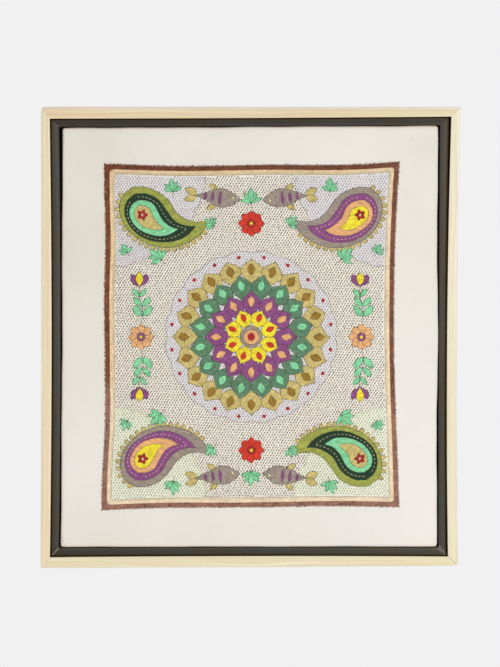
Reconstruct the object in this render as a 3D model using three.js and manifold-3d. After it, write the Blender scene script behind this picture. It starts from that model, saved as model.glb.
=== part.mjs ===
// Nakshi kantha: one embroidered cloth stretched over a wooden stretcher, in a floater frame.
//
// Millimetres, +Z up. The cloth faces -Y and the wall is the plane Y = 0. The origin is where
// the frame hangs from the wall: the middle of the top rail's back face.
//
// "Inset" is a distance in from a piece's outer edge, and "depth" a distance out from the wall.

import * as THREE from "three";
import { mergeVertices } from "three/addons/utils/BufferGeometryUtils.js";
import Module from "manifold-3d";

const wasm = await Module();
wasm.setup();

// ---- Driving dimensions ----

const GAP = 0.3; // between pieces that touch
const MITRE_SPARE = 1; // how far a mitre's cut runs on past the section

// Floater frame: an L section with a lip at the outside and a shelf at the wall
const FRAME_WIDTH = 453;
const FRAME_HEIGHT = 500;
const LIP_WIDTH = 11.4;
const LIP_FRONT = 35;
const LIP_EASE = 0.7;
const SHELF_WIDTH = 38;
const SHELF_FRONT = 8;

// Step moulding, which stands on the shelf inside the lip
const STEP_WIDTH = 8;
const STEP_FRONT = 28.5;
const STEP_ROUND = 2.6;

// Kantha: the stretched cloth's outer size, and how far it turns in behind the stretcher
const CLOTH_WIDTH = 407;
const CLOTH_HEIGHT = 457;
const CLOTH_THICKNESS = 1;
const CLOTH_TURN = 30;
const CLOTH_BEND = 2; // outer radius where it folds over an edge
const CORNER_RADIUS = CLOTH_THICKNESS + GAP; // bends about the stretcher's corner
const LEAST_RADIUS = 0.3; // of an outline that lies further in

// Stretcher
const BAR_WIDTH = 38;
const BAR_THICKNESS = 19;
const STRETCHER_SHIFT = 1; // how far right of the frame's middle it was fixed

// How the cloth's four edges swell between the corners: a wave's number of half turns along
// the side, and its height
const EDGE_WAVES = {
  top: [
    { halves: 1, height: 0.4 },
    { halves: 4, height: 0.1 },
  ],
  right: [
    { halves: 3, height: -0.35 },
    { halves: 7, height: 0.1 },
  ],
  bottom: [
    { halves: 1, height: 0.1 },
    { halves: 6, height: 0.12 },
  ],
  left: [
    { halves: 1, height: 0.25 },
    { halves: 5, height: 0.12 },
  ],
};
const WAVE_REST = 0.3; // keeps the swelling outward, clear of the stretcher

// Steps that stand for a curve
const ARC_STEPS = 3;
const CORNER_STEPS = 4;
const SIDE_STEPS = 20;

// ---- Derived places ----

const TURN_BACK = SHELF_FRONT + GAP;
const BAR_BACK = TURN_BACK + CLOTH_THICKNESS + GAP;
const BAR_FRONT = BAR_BACK + BAR_THICKNESS;
const CLOTH_FRONT = BAR_FRONT + GAP + CLOTH_THICKNESS;
const STEP_INSET = LIP_WIDTH + GAP;
const BAR_INSET = CLOTH_THICKNESS + GAP;
const HANG_INSET = SHELF_WIDTH / 2; // the hanging point, down from the frame's top edge

// ---- Finishes ----

const paleWood = new THREE.MeshStandardMaterial({ color: 0xe6d9bc, roughness: 0.55 });
const charcoal = new THREE.MeshStandardMaterial({ color: 0x46423e, roughness: 0.5 });
const pine = new THREE.MeshStandardMaterial({ color: 0xd9bf8f, roughness: 0.7 });
const kanthaCloth = new THREE.MeshStandardMaterial({ color: 0xd9d2c4, roughness: 0.9 });

// ---- Joining and cutting ----

function toSolid(geometry) {
  const bare = geometry.clone();
  bare.deleteAttribute("normal");
  bare.deleteAttribute("uv");
  const merged = mergeVertices(bare);
  return new wasm.Manifold(
    new wasm.Mesh({
      numProp: 3,
      vertProperties: new Float32Array(merged.attributes.position.array),
      triVerts: new Uint32Array(merged.index.array),
    }),
  );
}

function toGeometry(solid) {
  const mesh = solid.getMesh();
  const geometry = new THREE.BufferGeometry();
  geometry.setAttribute("position", new THREE.BufferAttribute(mesh.vertProperties, mesh.numProp));
  geometry.setIndex(new THREE.BufferAttribute(mesh.triVerts, 1));
  return geometry;
}

// ---- Mitred rails ----

const SIDES = ["top", "right", "bottom", "left"];

// A section (inset, depth) run out along X, as a top rail whose outer edge is on Z = 0
function extrudeSection(section, length) {
  const geometry = new THREE.ExtrudeGeometry(section, {
    depth: length,
    bevelEnabled: false,
    curveSegments: ARC_STEPS,
  });
  geometry.translate(0, 0, -length / 2);
  const inset = new THREE.Vector3(0, 0, -1);
  const depth = new THREE.Vector3(0, -1, 0);
  const along = new THREE.Vector3(-1, 0, 0);
  return geometry.applyMatrix4(new THREE.Matrix4().makeBasis(inset, depth, along));
}

// What both mitres leave of a top rail: a prism as deep as the frame, narrowing at 45 degrees
function mitrePrism(length, reach) {
  const half = length / 2 - (GAP / 2) * Math.SQRT2;
  const plan = new THREE.Shape([
    new THREE.Vector2(-half, 0),
    new THREE.Vector2(-half + reach, -reach),
    new THREE.Vector2(half - reach, -reach),
    new THREE.Vector2(half, 0),
  ]);
  const geometry = new THREE.ExtrudeGeometry(plan, { depth: LIP_FRONT, bevelEnabled: false });
  return geometry.rotateX(Math.PI / 2);
}

function mitredRail(section, sectionWidth, length) {
  const run = toSolid(extrudeSection(section, length));
  const prism = toSolid(mitrePrism(length, sectionWidth + MITRE_SPARE));
  return toGeometry(run.intersect(prism));
}

// Four rails round a rectangle of this outer size, centred on the origin
function fourRails(name, { width, height, section, sectionWidth, material }) {
  const group = new THREE.Group();
  SIDES.forEach((side, turns) => {
    const upright = turns % 2 === 1;
    const length = upright ? height : width;
    const rail = new THREE.Mesh(mitredRail(section, sectionWidth, length), material);
    rail.name = `${name}_${side}`;
    rail.position.z = (upright ? width : height) / 2;
    const turned = new THREE.Group();
    turned.rotation.y = (turns * Math.PI) / 2;
    turned.add(rail);
    group.add(turned);
  });
  return group;
}

function frameSection() {
  return new THREE.Shape([
    new THREE.Vector2(0, 0),
    new THREE.Vector2(SHELF_WIDTH, 0),
    new THREE.Vector2(SHELF_WIDTH, SHELF_FRONT),
    new THREE.Vector2(LIP_WIDTH, SHELF_FRONT),
    new THREE.Vector2(LIP_WIDTH, LIP_FRONT - LIP_EASE),
    new THREE.Vector2(LIP_WIDTH - LIP_EASE, LIP_FRONT),
    new THREE.Vector2(LIP_EASE, LIP_FRONT),
    new THREE.Vector2(0, LIP_FRONT - LIP_EASE),
  ]);
}

function stepSection() {
  const shoulder = STEP_FRONT - STEP_ROUND;
  const section = new THREE.Shape();
  section.moveTo(0, TURN_BACK);
  section.lineTo(STEP_WIDTH, TURN_BACK);
  section.lineTo(STEP_WIDTH, shoulder);
  section.absarc(STEP_WIDTH - STEP_ROUND, shoulder, STEP_ROUND, 0, Math.PI / 2, false);
  section.absarc(STEP_ROUND, shoulder, STEP_ROUND, Math.PI / 2, Math.PI, false);
  section.closePath();
  return section;
}

// The two outer edges are rounded, to lie inside the cloth's folds
function barSection() {
  const round = CLOTH_BEND - CLOTH_THICKNESS - GAP;
  const section = new THREE.Shape();
  section.moveTo(BAR_WIDTH, BAR_BACK);
  section.lineTo(BAR_WIDTH, BAR_FRONT);
  section.absarc(round, BAR_FRONT - round, round, Math.PI / 2, Math.PI, false);
  section.absarc(round, BAR_BACK + round, round, Math.PI, (3 * Math.PI) / 2, false);
  section.closePath();
  return section;
}

// ---- Cloth ----

// How far an edge swells at a share, 0 to 1, of the way along it
function swell(side, share) {
  const waves = EDGE_WAVES[side].map(({ halves, height }) => height * Math.sin(halves * Math.PI * share));
  const rest = WAVE_REST * Math.sin(Math.PI * share);
  return Math.max(0, rest + waves.reduce((sum, wave) => sum + wave, 0));
}

// The cloth's rounded outline, clockwise as seen from the front, moved in by an inset
function clothOutline(inset) {
  const halfWidth = CLOTH_WIDTH / 2 - inset;
  const halfHeight = CLOTH_HEIGHT / 2 - inset;
  const radius = Math.max(CORNER_RADIUS - inset, LEAST_RADIUS);
  const points = [];
  SIDES.forEach((side, turns) => {
    const upright = turns % 2 === 1;
    const run = (upright ? halfHeight : halfWidth) - radius;
    const reach = upright ? halfWidth : halfHeight;
    const turn = (turns * Math.PI) / 2;
    const put = (along, out) =>
      points.push({
        x: along * Math.cos(turn) + out * Math.sin(turn),
        z: out * Math.cos(turn) - along * Math.sin(turn),
      });
    for (let i = 0; i < SIDE_STEPS; i += 1) {
      const share = i / SIDE_STEPS;
      put(-run + 2 * run * share, reach + swell(side, share));
    }
    for (let i = 0; i < CORNER_STEPS; i += 1) {
      const angle = (i / CORNER_STEPS) * (Math.PI / 2);
      put(run + radius * Math.sin(angle), reach - radius + radius * Math.cos(angle));
    }
  });
  return points;
}

// A quarter bend as seen in section, from one angle to another about a centre
function bend({ inset, depth, radius, from, to }) {
  return Array.from({ length: ARC_STEPS + 1 }, (_, i) => {
    const angle = from + ((to - from) * i) / ARC_STEPS;
    return { inset: inset - radius * Math.cos(angle), depth: depth + radius * Math.sin(angle) };
  });
}

// The cloth's section: out from the face, round the edge, in behind, and back inside itself
function clothSection() {
  const back = { inset: CLOTH_BEND, depth: TURN_BACK + CLOTH_BEND };
  const front = { inset: CLOTH_BEND, depth: CLOTH_FRONT - CLOTH_BEND };
  const inner = CLOTH_BEND - CLOTH_THICKNESS;
  const quarter = Math.PI / 2;
  return [
    ...bend({ ...front, radius: CLOTH_BEND, from: quarter, to: 0 }),
    ...bend({ ...back, radius: CLOTH_BEND, from: 0, to: -quarter }),
    { inset: CLOTH_TURN, depth: TURN_BACK },
    { inset: CLOTH_TURN, depth: TURN_BACK + CLOTH_THICKNESS },
    ...bend({ ...back, radius: inner, from: -quarter, to: 0 }),
    ...bend({ ...front, radius: inner, from: 0, to: quarter }),
  ];
}

function clothGeometry() {
  const section = clothSection();
  const loops = section.map(({ inset, depth }) =>
    clothOutline(inset).map(({ x, z }) => new THREE.Vector3(x, -depth, z)),
  );
  const count = loops[0].length;
  const last = loops.length - 1;
  const faceCentre = new THREE.Vector3(0, -section[0].depth, 0);
  const liningCentre = new THREE.Vector3(0, -section[last].depth, 0);
  const faceIndex = count * loops.length;
  const liningIndex = faceIndex + 1;

  const triangles = [];
  for (let i = 0; i < count; i += 1) {
    const next = (i + 1) % count;
    triangles.push([faceIndex, next, i]);
    triangles.push([liningIndex, last * count + i, last * count + next]);
    for (let loop = 0; loop < last; loop += 1) {
      const here = loop * count;
      const beyond = here + count;
      triangles.push([here + i, here + next, beyond + next]);
      triangles.push([here + i, beyond + next, beyond + i]);
    }
  }
  const geometry = new THREE.BufferGeometry();
  geometry.setFromPoints([...loops.flat(), faceCentre, liningCentre]);
  geometry.setIndex(triangles.flat());
  return geometry;
}

// ---- Assembly ----

const rails = fourRails("rail", {
  width: FRAME_WIDTH,
  height: FRAME_HEIGHT,
  section: frameSection(),
  sectionWidth: SHELF_WIDTH,
  material: paleWood,
});

const steps = fourRails("step", {
  width: FRAME_WIDTH - 2 * STEP_INSET,
  height: FRAME_HEIGHT - 2 * STEP_INSET,
  section: stepSection(),
  sectionWidth: STEP_WIDTH,
  material: charcoal,
});

const bars = fourRails("bar", {
  width: CLOTH_WIDTH - 2 * BAR_INSET,
  height: CLOTH_HEIGHT - 2 * BAR_INSET,
  section: barSection(),
  sectionWidth: BAR_WIDTH,
  material: pine,
});

const kantha = new THREE.Mesh(clothGeometry(), kanthaCloth);
kantha.name = "kantha";

const stretched = new THREE.Group();
stretched.position.x = STRETCHER_SHIFT;
stretched.add(bars, kantha);

const framed = new THREE.Group();
framed.position.z = HANG_INSET - FRAME_HEIGHT / 2;
framed.add(rails, steps, stretched);

const group = new THREE.Group();
group.add(framed);

export default group;
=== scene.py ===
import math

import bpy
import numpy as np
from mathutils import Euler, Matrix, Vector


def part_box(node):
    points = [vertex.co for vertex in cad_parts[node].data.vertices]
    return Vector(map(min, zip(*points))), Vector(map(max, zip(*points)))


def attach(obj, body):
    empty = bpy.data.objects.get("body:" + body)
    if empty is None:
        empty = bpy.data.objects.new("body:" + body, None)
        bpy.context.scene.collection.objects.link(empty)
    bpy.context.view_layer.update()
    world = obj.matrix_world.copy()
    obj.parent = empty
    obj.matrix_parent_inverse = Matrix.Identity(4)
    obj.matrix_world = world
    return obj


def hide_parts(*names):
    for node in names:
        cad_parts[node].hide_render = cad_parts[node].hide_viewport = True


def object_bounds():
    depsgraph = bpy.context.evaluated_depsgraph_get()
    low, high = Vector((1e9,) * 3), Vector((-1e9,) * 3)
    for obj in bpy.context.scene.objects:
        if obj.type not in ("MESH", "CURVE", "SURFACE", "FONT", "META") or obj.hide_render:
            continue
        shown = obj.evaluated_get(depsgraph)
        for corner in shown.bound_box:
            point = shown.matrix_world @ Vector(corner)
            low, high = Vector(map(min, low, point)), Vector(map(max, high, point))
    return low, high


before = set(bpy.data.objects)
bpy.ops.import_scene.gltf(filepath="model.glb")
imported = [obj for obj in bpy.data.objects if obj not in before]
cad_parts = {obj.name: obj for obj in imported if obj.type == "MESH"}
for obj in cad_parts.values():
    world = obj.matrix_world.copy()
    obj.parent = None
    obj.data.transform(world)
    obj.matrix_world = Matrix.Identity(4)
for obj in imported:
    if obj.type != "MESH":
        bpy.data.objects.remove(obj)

# A nakshi kantha: one embroidered cotton cloth, stretched over a stretcher and set in a pale
# wooden floater frame with a charcoal step inside its lip.
#
# Cloth and stitches are worked out in millimetres on the stretched face, as points (x, z)
# from its middle, x to the right and z up, and heights out of the face. place() turns them
# into the frame's metres. Wooden rails are runs of a section: along, inset from the outer
# edge, and depth out from the wall.

MM = 0.001
CAD_LOW, CAD_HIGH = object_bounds()
RNG = np.random.default_rng(27)


# The four sides are clockwise as seen from the front, so that each ends where the next starts
SIDES = ("top", "right", "bottom", "left")


def by_side(*values):
    """One value for each side, in that order."""
    return dict(zip(SIDES, values))


FOLLOWING = by_side(*SIDES[1:], SIDES[0])
INWARD = by_side(*np.array([(0, -1), (-1, 0), (0, 1), (1, 0)]))
AHEAD = by_side(*np.array([(1, 0), (0, -1), (-1, 0), (0, 1)]))


def along_side(side, points, half):
    """For points in a rectangle of these half sizes: how far along one of its sides they lie,
    as a share, and how far in from it."""
    ahead, inward = AHEAD[side], INWARD[side]
    share = 0.5 + points @ ahead / (np.abs(ahead) @ half) / 2
    return share, np.abs(inward) @ half + points @ inward


def moved_out(points, half, reach):
    """Points moved out from each side of the rectangle, as far as a function of the side, the
    share along it and the inset says."""
    moved = points
    for side in SIDES:
        out = reach(side, *along_side(side, points, half))
        moved = moved - out[:, None] * INWARD[side]
    return moved


def from_corners(values, side, starting):
    """For places along one side, the nearer corner's value, from one for each side's start."""
    return np.where(starting, values[side], values[FOLLOWING[side]])


def half_waves(waves, share):
    """A sum of half waves, each given by how many lie along the side and how high they are."""
    return sum(high * np.sin(count * math.pi * share) for count, high in waves)


def round_corners(points, half, corner):
    """Points in a rectangle of these half sizes, drawn in where its corners are round."""
    over = np.maximum(np.abs(points) - (half - corner), 0)
    pull = over.max(1) / np.maximum(np.linalg.norm(over, axis=1), 1e-9)
    lost = np.where((over > 0).all(1), 1 - pull, 0)
    return points - np.sign(points) * over * lost[:, None]


# ---- sizes, in millimetres

CLOTH_LOW, CLOTH_HIGH = (np.array(corner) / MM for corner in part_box("kantha"))
EDGE_SWELL = 0.6  # how far the CAD's stretched edges swell past their straight line
CLOTH_HALF = (CLOTH_HIGH - CLOTH_LOW)[[0, 2]] / 2 - EDGE_SWELL
CLOTH_MIDDLE = (CLOTH_HIGH + CLOTH_LOW)[[0, 2]] / 2
CLOTH_DEPTH = CLOTH_HIGH[1] - CLOTH_LOW[1]
CLOTH_TURN = 30.0  # how far it reaches in behind the stretcher
CLOTH_BEND = 2.0  # radius of its fold over the stretcher's edge
CLOTH_CORNER = 2.6  # how round its corners are, seen from the front
CLOTH_SHEET = 0.9  # thickness of its layers together
GRID_PITCH = 2.9

# The embroidered panel: where each side starts, and the half waves in which the stitching
# has drawn it in
PANEL_CORNERS = by_side((-158.8, 188.8), (162.3, 191.1), (162.6, -185.5), (-162.4, -188.5))
PANEL_WAVES = by_side(
    ((1, 3.7), (3, 0.9), (4, -0.25)),
    ((1, 6.2), (2, 0.75), (4, 0.15)),
    ((1, 2.45), (3, 0.65)),
    ((1, 2.7), (2, 0.5), (3, 0.5), (4, -0.4), (5, -0.3), (7, -0.3)),
)
BROWN_BAND = 6.3
# How much narrower the brown band is at the middle of each side
BROWN_PINCH = by_side(0.85, 1.2, 0.8, 0.6)
PEACH_TONES = (1.04, 1.04, 1.02, 0.95, 0.92)  # one for each of its rows, from the outside in
PEACH_PITCH = 0.92
PEACH_START = BROWN_BAND - 0.2
PEACH_END = PEACH_START + len(PEACH_TONES) * PEACH_PITCH
# How round the peach band's outer corner is where each side starts
PEACH_CORNERS = by_side(3.6, 1.8, 1.6, 1.8)
GROUND_INSET = PEACH_END + 1.2

# Running stitch that fills the ground
ROW_ANGLE = math.radians(58)
ROW_PITCH = 2.62
STITCH_PITCH = 3.25

# ---- colours, sRGB 0 to 255

THREADS = {
    "brown": (120, 66, 40),
    "faded": (152, 110, 93),
    "peach": (236, 209, 164),
    "pale_peach": (239, 218, 185),
    "edging": (118, 88, 54),
    "mint": (136, 214, 162),
    "bottle": (28, 56, 36),
    "leaf": (96, 134, 104),
    "moss": (160, 166, 78),
    "olive": (156, 120, 44),
    "khaki": (205, 186, 118),
    "grey": (160, 146, 134),
    "purple": (142, 78, 132),
    "yellow": (244, 224, 56),
    "orange": (234, 178, 124),
    "crimson": (176, 34, 40),
    "red": (214, 58, 40),
    "beige": (240, 222, 178),
    "trunk": (108, 54, 40),
    "ink": (54, 46, 44),
    "lime": (206, 218, 116),
    "slate": (112, 100, 104),
}
CLOTH_CREAM = (237, 233, 224)

# Ground zones: each one's pale thread, dark thread and its width, and the cloth as it shows
# between them
CREAM, LAVENDER, GREEN = range(3)
ZONE_PALE = ((254, 249, 238), (243, 239, 240), (249, 251, 232))
ZONE_DARK = ((40, 30, 22), (92, 84, 86), (86, 88, 68))
ZONE_WIDTHS = (1.04, 0.74, 0.72)
ZONE_CLOTH = ((236, 226, 212), (225, 220, 221), (234, 236, 210))


def linear(rgb):
    """sRGB 0 to 255 as the linear numbers that shaders take."""
    c = np.asarray(rgb, float) / 255
    return np.where(c <= 0.04045, c / 12.92, ((c + 0.055) / 1.055) ** 2.4)


def shade(name):
    return linear(THREADS[name])


def rgba(rgb):
    return (*linear(rgb), 1.0)


# ---- outlines

def heading(angle):
    """Unit vectors for one angle or many."""
    return np.stack([np.cos(angle), np.sin(angle)], -1)


def turned(points, angle):
    out, up = heading(angle), heading(angle + math.pi / 2)
    return np.asarray(points, float) @ np.array([out, up])


def even_turns(count, first=0.0):
    """Even turns of a full circle, the first so many steps from the x axis."""
    return 2 * math.pi * (np.arange(count) + first) / count


def run_along(line):
    """How far along a line each of its points lies."""
    return np.concatenate([[0], np.cumsum(np.linalg.norm(np.diff(line, axis=0), axis=1))])


def resampled(line, step, closed=False):
    """Points at even steps along a line, ends included."""
    line = np.vstack([line, line[:1]]) if closed else np.asarray(line, float)
    at = run_along(line)
    wanted = np.linspace(0, at[-1], max(int(round(at[-1] / step)), 1) + 1)
    return np.stack([np.interp(wanted, at, line[:, axis]) for axis in (0, 1)], 1)


def crossed_at(outline, level):
    """Which sides of a closed outline cross a level line, and where they meet it."""
    (ax, az), (bx, bz) = outline.T, np.roll(outline, -1, 0).T
    rise = np.where(bz == az, 1e-9, bz - az)
    return (az > level) != (bz > level), ax + (level - az) * (bx - ax) / rise


def spans_inside(outline, level):
    """The spans of a level line that lie inside a closed outline, from left to right."""
    crossed, at = crossed_at(outline, level)
    at = np.sort(at[crossed])
    return list(zip(at[0::2], at[1::2]))


def inside(points, outline):
    """For each point, whether it lies inside a closed outline."""
    near = np.flatnonzero(((points >= outline.min(0)) & (points <= outline.max(0))).all(1))
    x, z = points[near].T[..., None]
    crossed, at = crossed_at(outline, z)
    found = np.zeros(len(points), bool)
    found[near] = (crossed & (x < at)).sum(1) % 2 == 1
    return found


def outside_all(points, outlines):
    free = np.ones(len(points), bool)
    for outline in outlines:
        free &= ~inside(points, outline)
    return free


def circle(centre, radius, count=40):
    return np.asarray(centre) + radius * heading(even_turns(count))


def scalloped(centre, radius, lobes, depth, count=12):
    """A circle whose edge swells into round lobes."""
    turn = even_turns(lobes * count)
    reach = radius - depth + depth * np.abs(np.sin(lobes * turn / 2)) ** 0.8
    return np.asarray(centre) + reach[:, None] * heading(turn)


def leaf(base, angle, length, width, curl=0.0, belly=0.5, tip=1.0, count=16):
    """A petal or leaf from its base: belly is where it is widest, as a share of its length,
    and a tip above 1 draws its end out to a point."""
    s = np.linspace(0, 1, count)
    power = math.log(0.5) / math.log(belly)
    half = width / 2 * np.maximum(np.sin(math.pi * s**power), 0) ** (1 + (tip - 1) * s**2)
    bend = curl * s**1.4
    steps = heading((bend[1:] + bend[:-1]) / 2) * length / (count - 1)
    spine = np.vstack([np.zeros(2), np.cumsum(steps, 0)])
    across = heading(bend + math.pi / 2) * half[:, None]
    outline = np.vstack([spine + across, (spine - across)[-2:0:-1]])
    return turned(outline, angle) + np.asarray(base)


def panel_side(side, inset):
    """One side of the panel, moved in by an inset and cut at its mitres."""
    start, end = np.array([PANEL_CORNERS[side], PANEL_CORNERS[FOLLOWING[side]]])
    inward, along = INWARD[side], (end - start) / np.linalg.norm(end - start)
    start, end = start + inset * (inward + along), end + inset * (inward - along)
    t = np.linspace(0, 1, 80)
    pinch = BROWN_PINCH[side] * min(inset / BROWN_BAND, 1) * np.sin(math.pi * t)
    drawn_in = half_waves(PANEL_WAVES[side], t) - pinch
    return start + (end - start) * t[:, None] + inward * drawn_in[:, None]


def panel_outline(inset, less_round=None):
    """The whole panel's outline at an inset. Its corners are sharp, or as round as the peach
    band's less an amount."""
    if less_round is None:
        return np.vstack([panel_side(side, inset)[:-1] for side in SIDES])
    rounds = {side: max(PEACH_CORNERS[side] - less_round, 0.5) for side in SIDES}
    kept = {}
    for side in SIDES:
        points = resampled(panel_side(side, inset), 0.5)
        run = np.linalg.norm(points - points[0], axis=1)
        kept[side] = points[(run >= rounds[side]) & (run <= run[-1] - rounds[FOLLOWING[side]])]
    t = np.linspace(0, 1, 7)[1:-1, None]
    line = []
    for side, following in FOLLOWING.items():
        tip = panel_side(following, inset)[0]
        a, b = kept[side][-1], kept[following][0]
        line += [kept[side], (1 - t) ** 2 * a + 2 * t * (1 - t) * tip + t**2 * b]
    return np.vstack(line)


def rounded_section(corners, longest, steps=5):
    """A closed section from corners of (inset, depth, radius), with points along its sides."""
    places, radii = np.array(corners, float)[:, :2], [corner[2] for corner in corners]
    curved = []
    neighbours = zip(np.roll(places, 1, 0), np.roll(places, -1, 0))
    for here, pair, radius in zip(places, neighbours, radii):
        before, after = ((v - here) / np.linalg.norm(v - here) * radius for v in pair)
        quarter = np.linspace(0, math.pi / 2, steps if radius else 1)
        curved += [here + before * (1 - math.sin(t)) + after * (1 - math.cos(t)) for t in quarter]
    points = []
    for a, b in zip(curved, curved[1:] + curved[:1]):
        count = max(int(math.ceil(np.linalg.norm(b - a) / longest)), 1)
        points += [a + (b - a) * k / count for k in range(count)]
    return np.array(points)


# ---- the cloth's lie

# Soft puckers of the bare margin, where the stitching draws the cloth in: place on the face,
# direction, length, width and height
PUCKERS = (
    (-120, 203, 96, 34, 11, 0.5),
    (-62, 206, 88, 30, 13, -0.45),
    (18, 205, 92, 34, 16, 0.4),
    (96, 208, 84, 28, 12, 0.45),
    (182, 150, 4, 30, 14, 0.45),
    (180, 62, -5, 34, 15, -0.45),
    (181, -30, 3, 32, 13, 0.5),
    (183, -128, -4, 30, 16, -0.4),
    (112, -206, 93, 30, 14, 0.45),
    (28, -207, 86, 34, 12, -0.4),
    (-70, -206, 95, 32, 15, 0.45),
    (-182, -140, 3, 32, 14, 0.45),
    (-180, -52, -4, 30, 12, -0.45),
    (-181, 44, 5, 34, 15, 0.5),
    (-183, 122, -3, 28, 12, -0.4),
)
PAD_HEIGHT = 0.35  # how far the stitched layers stand above the bare margin
PAD_INSET = 3.0
PAD_BLEND = 1.2
QUILT_HEIGHT = 0.16
EDGE_FLAT = 12.0  # the stretcher's edge holds the face flat over this width


def relief(points):
    """Height of the cloth's face above a flat one."""
    x, z = points.T
    corners = np.array(list(PANEL_CORNERS.values()))
    low, high = corners.min(0) + PAD_INSET, corners.max(0) - PAD_INSET
    inset = np.minimum(points - low, high - points).min(1)
    stitched = 1 / (1 + np.exp(-inset / PAD_BLEND))
    quilting = np.sin(x / 9.5 + 1.3 * np.sin(z / 31)) * np.sin(z / 11.5 + np.sin(x / 37))
    h = stitched * (PAD_HEIGHT + QUILT_HEIGHT * quilting)
    for *middle, angle, length, width, height in PUCKERS:
        share = 2 * turned(points - middle, -math.radians(angle)) / (length, width)
        h += height * np.exp(-(share**2).sum(1))
    return h * np.clip((CLOTH_HALF - np.abs(points)).min(1) / EDGE_FLAT, 0, 1)


def place(points, heights):
    """From the face's millimetres to the frame's metres."""
    x, z = (points + CLOTH_MIDDLE).T
    return np.stack([x, CLOTH_LOW[1] - heights, z], 1) * MM


# ---- meshes

UV_SPAN = 600.0  # millimetres of face or unfolded cloth across the whole of a piece's map


def linked(name, data):
    """A new object in the scene."""
    made = bpy.data.objects.new(name, data)
    bpy.context.scene.collection.objects.link(made)
    return made


def add_mesh(name, vertices, faces, material, attributes, uv):
    """A mesh piece from arrays. Attributes are per vertex: three numbers make a vector and
    four a colour. uv is per corner of each face, and becomes the piece's map."""
    mesh = bpy.data.meshes.new(name)
    mesh.from_pydata(vertices, [], faces, shade_flat=False)
    for key, values in attributes.items():
        kind, field = ("FLOAT_COLOR", "color") if values.shape[1] == 4 else ("FLOAT_VECTOR", "vector")
        layer = mesh.attributes.new(key, kind, "POINT")
        layer.data.foreach_set(field, values.astype(np.float32).ravel())
    layer = mesh.uv_layers.new(name="OFBake")
    layer.uv.foreach_set("vector", uv.astype(np.float32).ravel())
    mesh.materials.append(material)
    piece = linked(name, mesh)
    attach(piece, "root")
    return piece


def cell_corners(grid):
    """The four corners of each cell of a grid, in order round it."""
    low, high = slice(-1), slice(1, None)
    corners = ((low, low), (low, high), (high, high), (high, low))
    return np.stack([grid[(..., *corner)] for corner in corners], -1)


def flat_map(points, faces):
    """The map of a piece that lies flat at these points, one for each vertex."""
    return (points / UV_SPAN + 0.5)[faces]


# ---- stitches

# A stitch's lengthwise shape: how far along, how high and how wide, as shares
STITCH_ROWS = np.array([(0.0, 0.0, 0.55), (0.2, 1.0, 1.0), (0.8, 1.0, 1.0), (1.0, 0.0, 0.55)])
STITCH_COLUMNS = np.array([-0.5, 0.0, 0.5])


class Stitches:
    """Stitches gathered for one piece: each a straight lay of thread from start to end."""

    def __init__(self):
        self.rows = []

    def add(self, starts, ends, width, colours, rise, low=-0.05, sink=-0.15):
        """rise, low and sink are heights: of a stitch's ridge, its two sides and its ends."""
        sizes = [np.full(len(starts), size) for size in (width, rise, low, sink)]
        self.rows.append(np.column_stack([starts, ends, *sizes, colours]))

    def build(self, name, material, reverse):
        rows = np.vstack(self.rows)
        starts, way, colours = rows[:, :2], rows[:, 2:4] - rows[:, :2], rows[:, 8:]
        width, rise, low, sink = rows[:, 4:8].T[..., None]
        length = np.maximum(np.linalg.norm(way, axis=1, keepdims=True), 1e-6)
        side = turned(way, math.pi / 2) / length
        share, high, wide = STITCH_ROWS.T
        # axes: stitch, row along it, column across it
        spine = starts[:, None] + way[:, None] * share[:, None]
        reach = (width * wide)[..., None] * STITCH_COLUMNS
        points = (spine[:, :, None] + side[:, None, None] * reach[..., None]).reshape(-1, 2)
        ridge, foot = sink + (rise - sink) * high, sink + (low - sink) * high
        heights = np.stack([foot, ridge, foot], 2).ravel()
        lie = relief(points)
        heights = lie - CLOTH_SHEET - heights if reverse else lie + heights

        index = np.arange(len(points)).reshape(reach.shape)
        faces = cell_corners(index.swapaxes(1, 2) if reverse else index).reshape(-1, 4)
        strand = np.stack(np.broadcast_arrays(
            (length * share)[..., None],
            width[..., None] * STITCH_COLUMNS,
            (np.arange(len(rows)) * 1.7 % 50)[:, None, None],
        ), -1)
        thread = np.repeat(np.column_stack([colours, np.ones(len(rows))]), index[0].size, 0)
        attributes = {"thread": thread, "strand": strand.reshape(-1, 3)}
        return add_mesh(
            name, place(points, heights), faces, material, attributes,
            flat_map(points, faces),
        )


def varied(colour, count):
    """One colour for each of a number of stitches, a little lighter or darker each time."""
    return np.clip(np.asarray(colour) * RNG.normal(1, 0.06, (count, 1)), 0, 1)


def sew_line(stitches, line, colour, step, gap, width, closed=False, covers=(), **heights):
    """Back stitch or running stitch along a line, in one colour or in what a function of the
    stitches' middles gives. A stitch under a cover is left out."""
    points = resampled(line, step, closed)
    cut = np.diff(points, axis=0) * (gap / step / 2)
    starts = points[:-1] + cut + RNG.normal(0, 0.09, cut.shape)
    ends = points[1:] - cut + RNG.normal(0, 0.09, cut.shape)
    middle = (starts + ends) / 2
    keep = outside_all(middle, covers)
    colours = varied(colour(middle) if callable(colour) else colour, len(starts))
    stitches.add(starts[keep], ends[keep], width, colours[keep], **heights)


def without(spans, cuts):
    """Spans less the parts that lie in the cuts."""
    for low, high in cuts:
        parts = [part for a, b in spans for part in ((a, min(b, low)), (max(a, high), b))]
        spans = [(a, b) for a, b in parts if a < b]
    return spans


FILL_PITCH = 0.95
FILL_LENGTH = 3.5
FILL_LEAST = 0.6
FILL_OVERLAP = (0.1, 0.5)
STRAND = 5  # neighbouring stitches that share a tone


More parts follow.
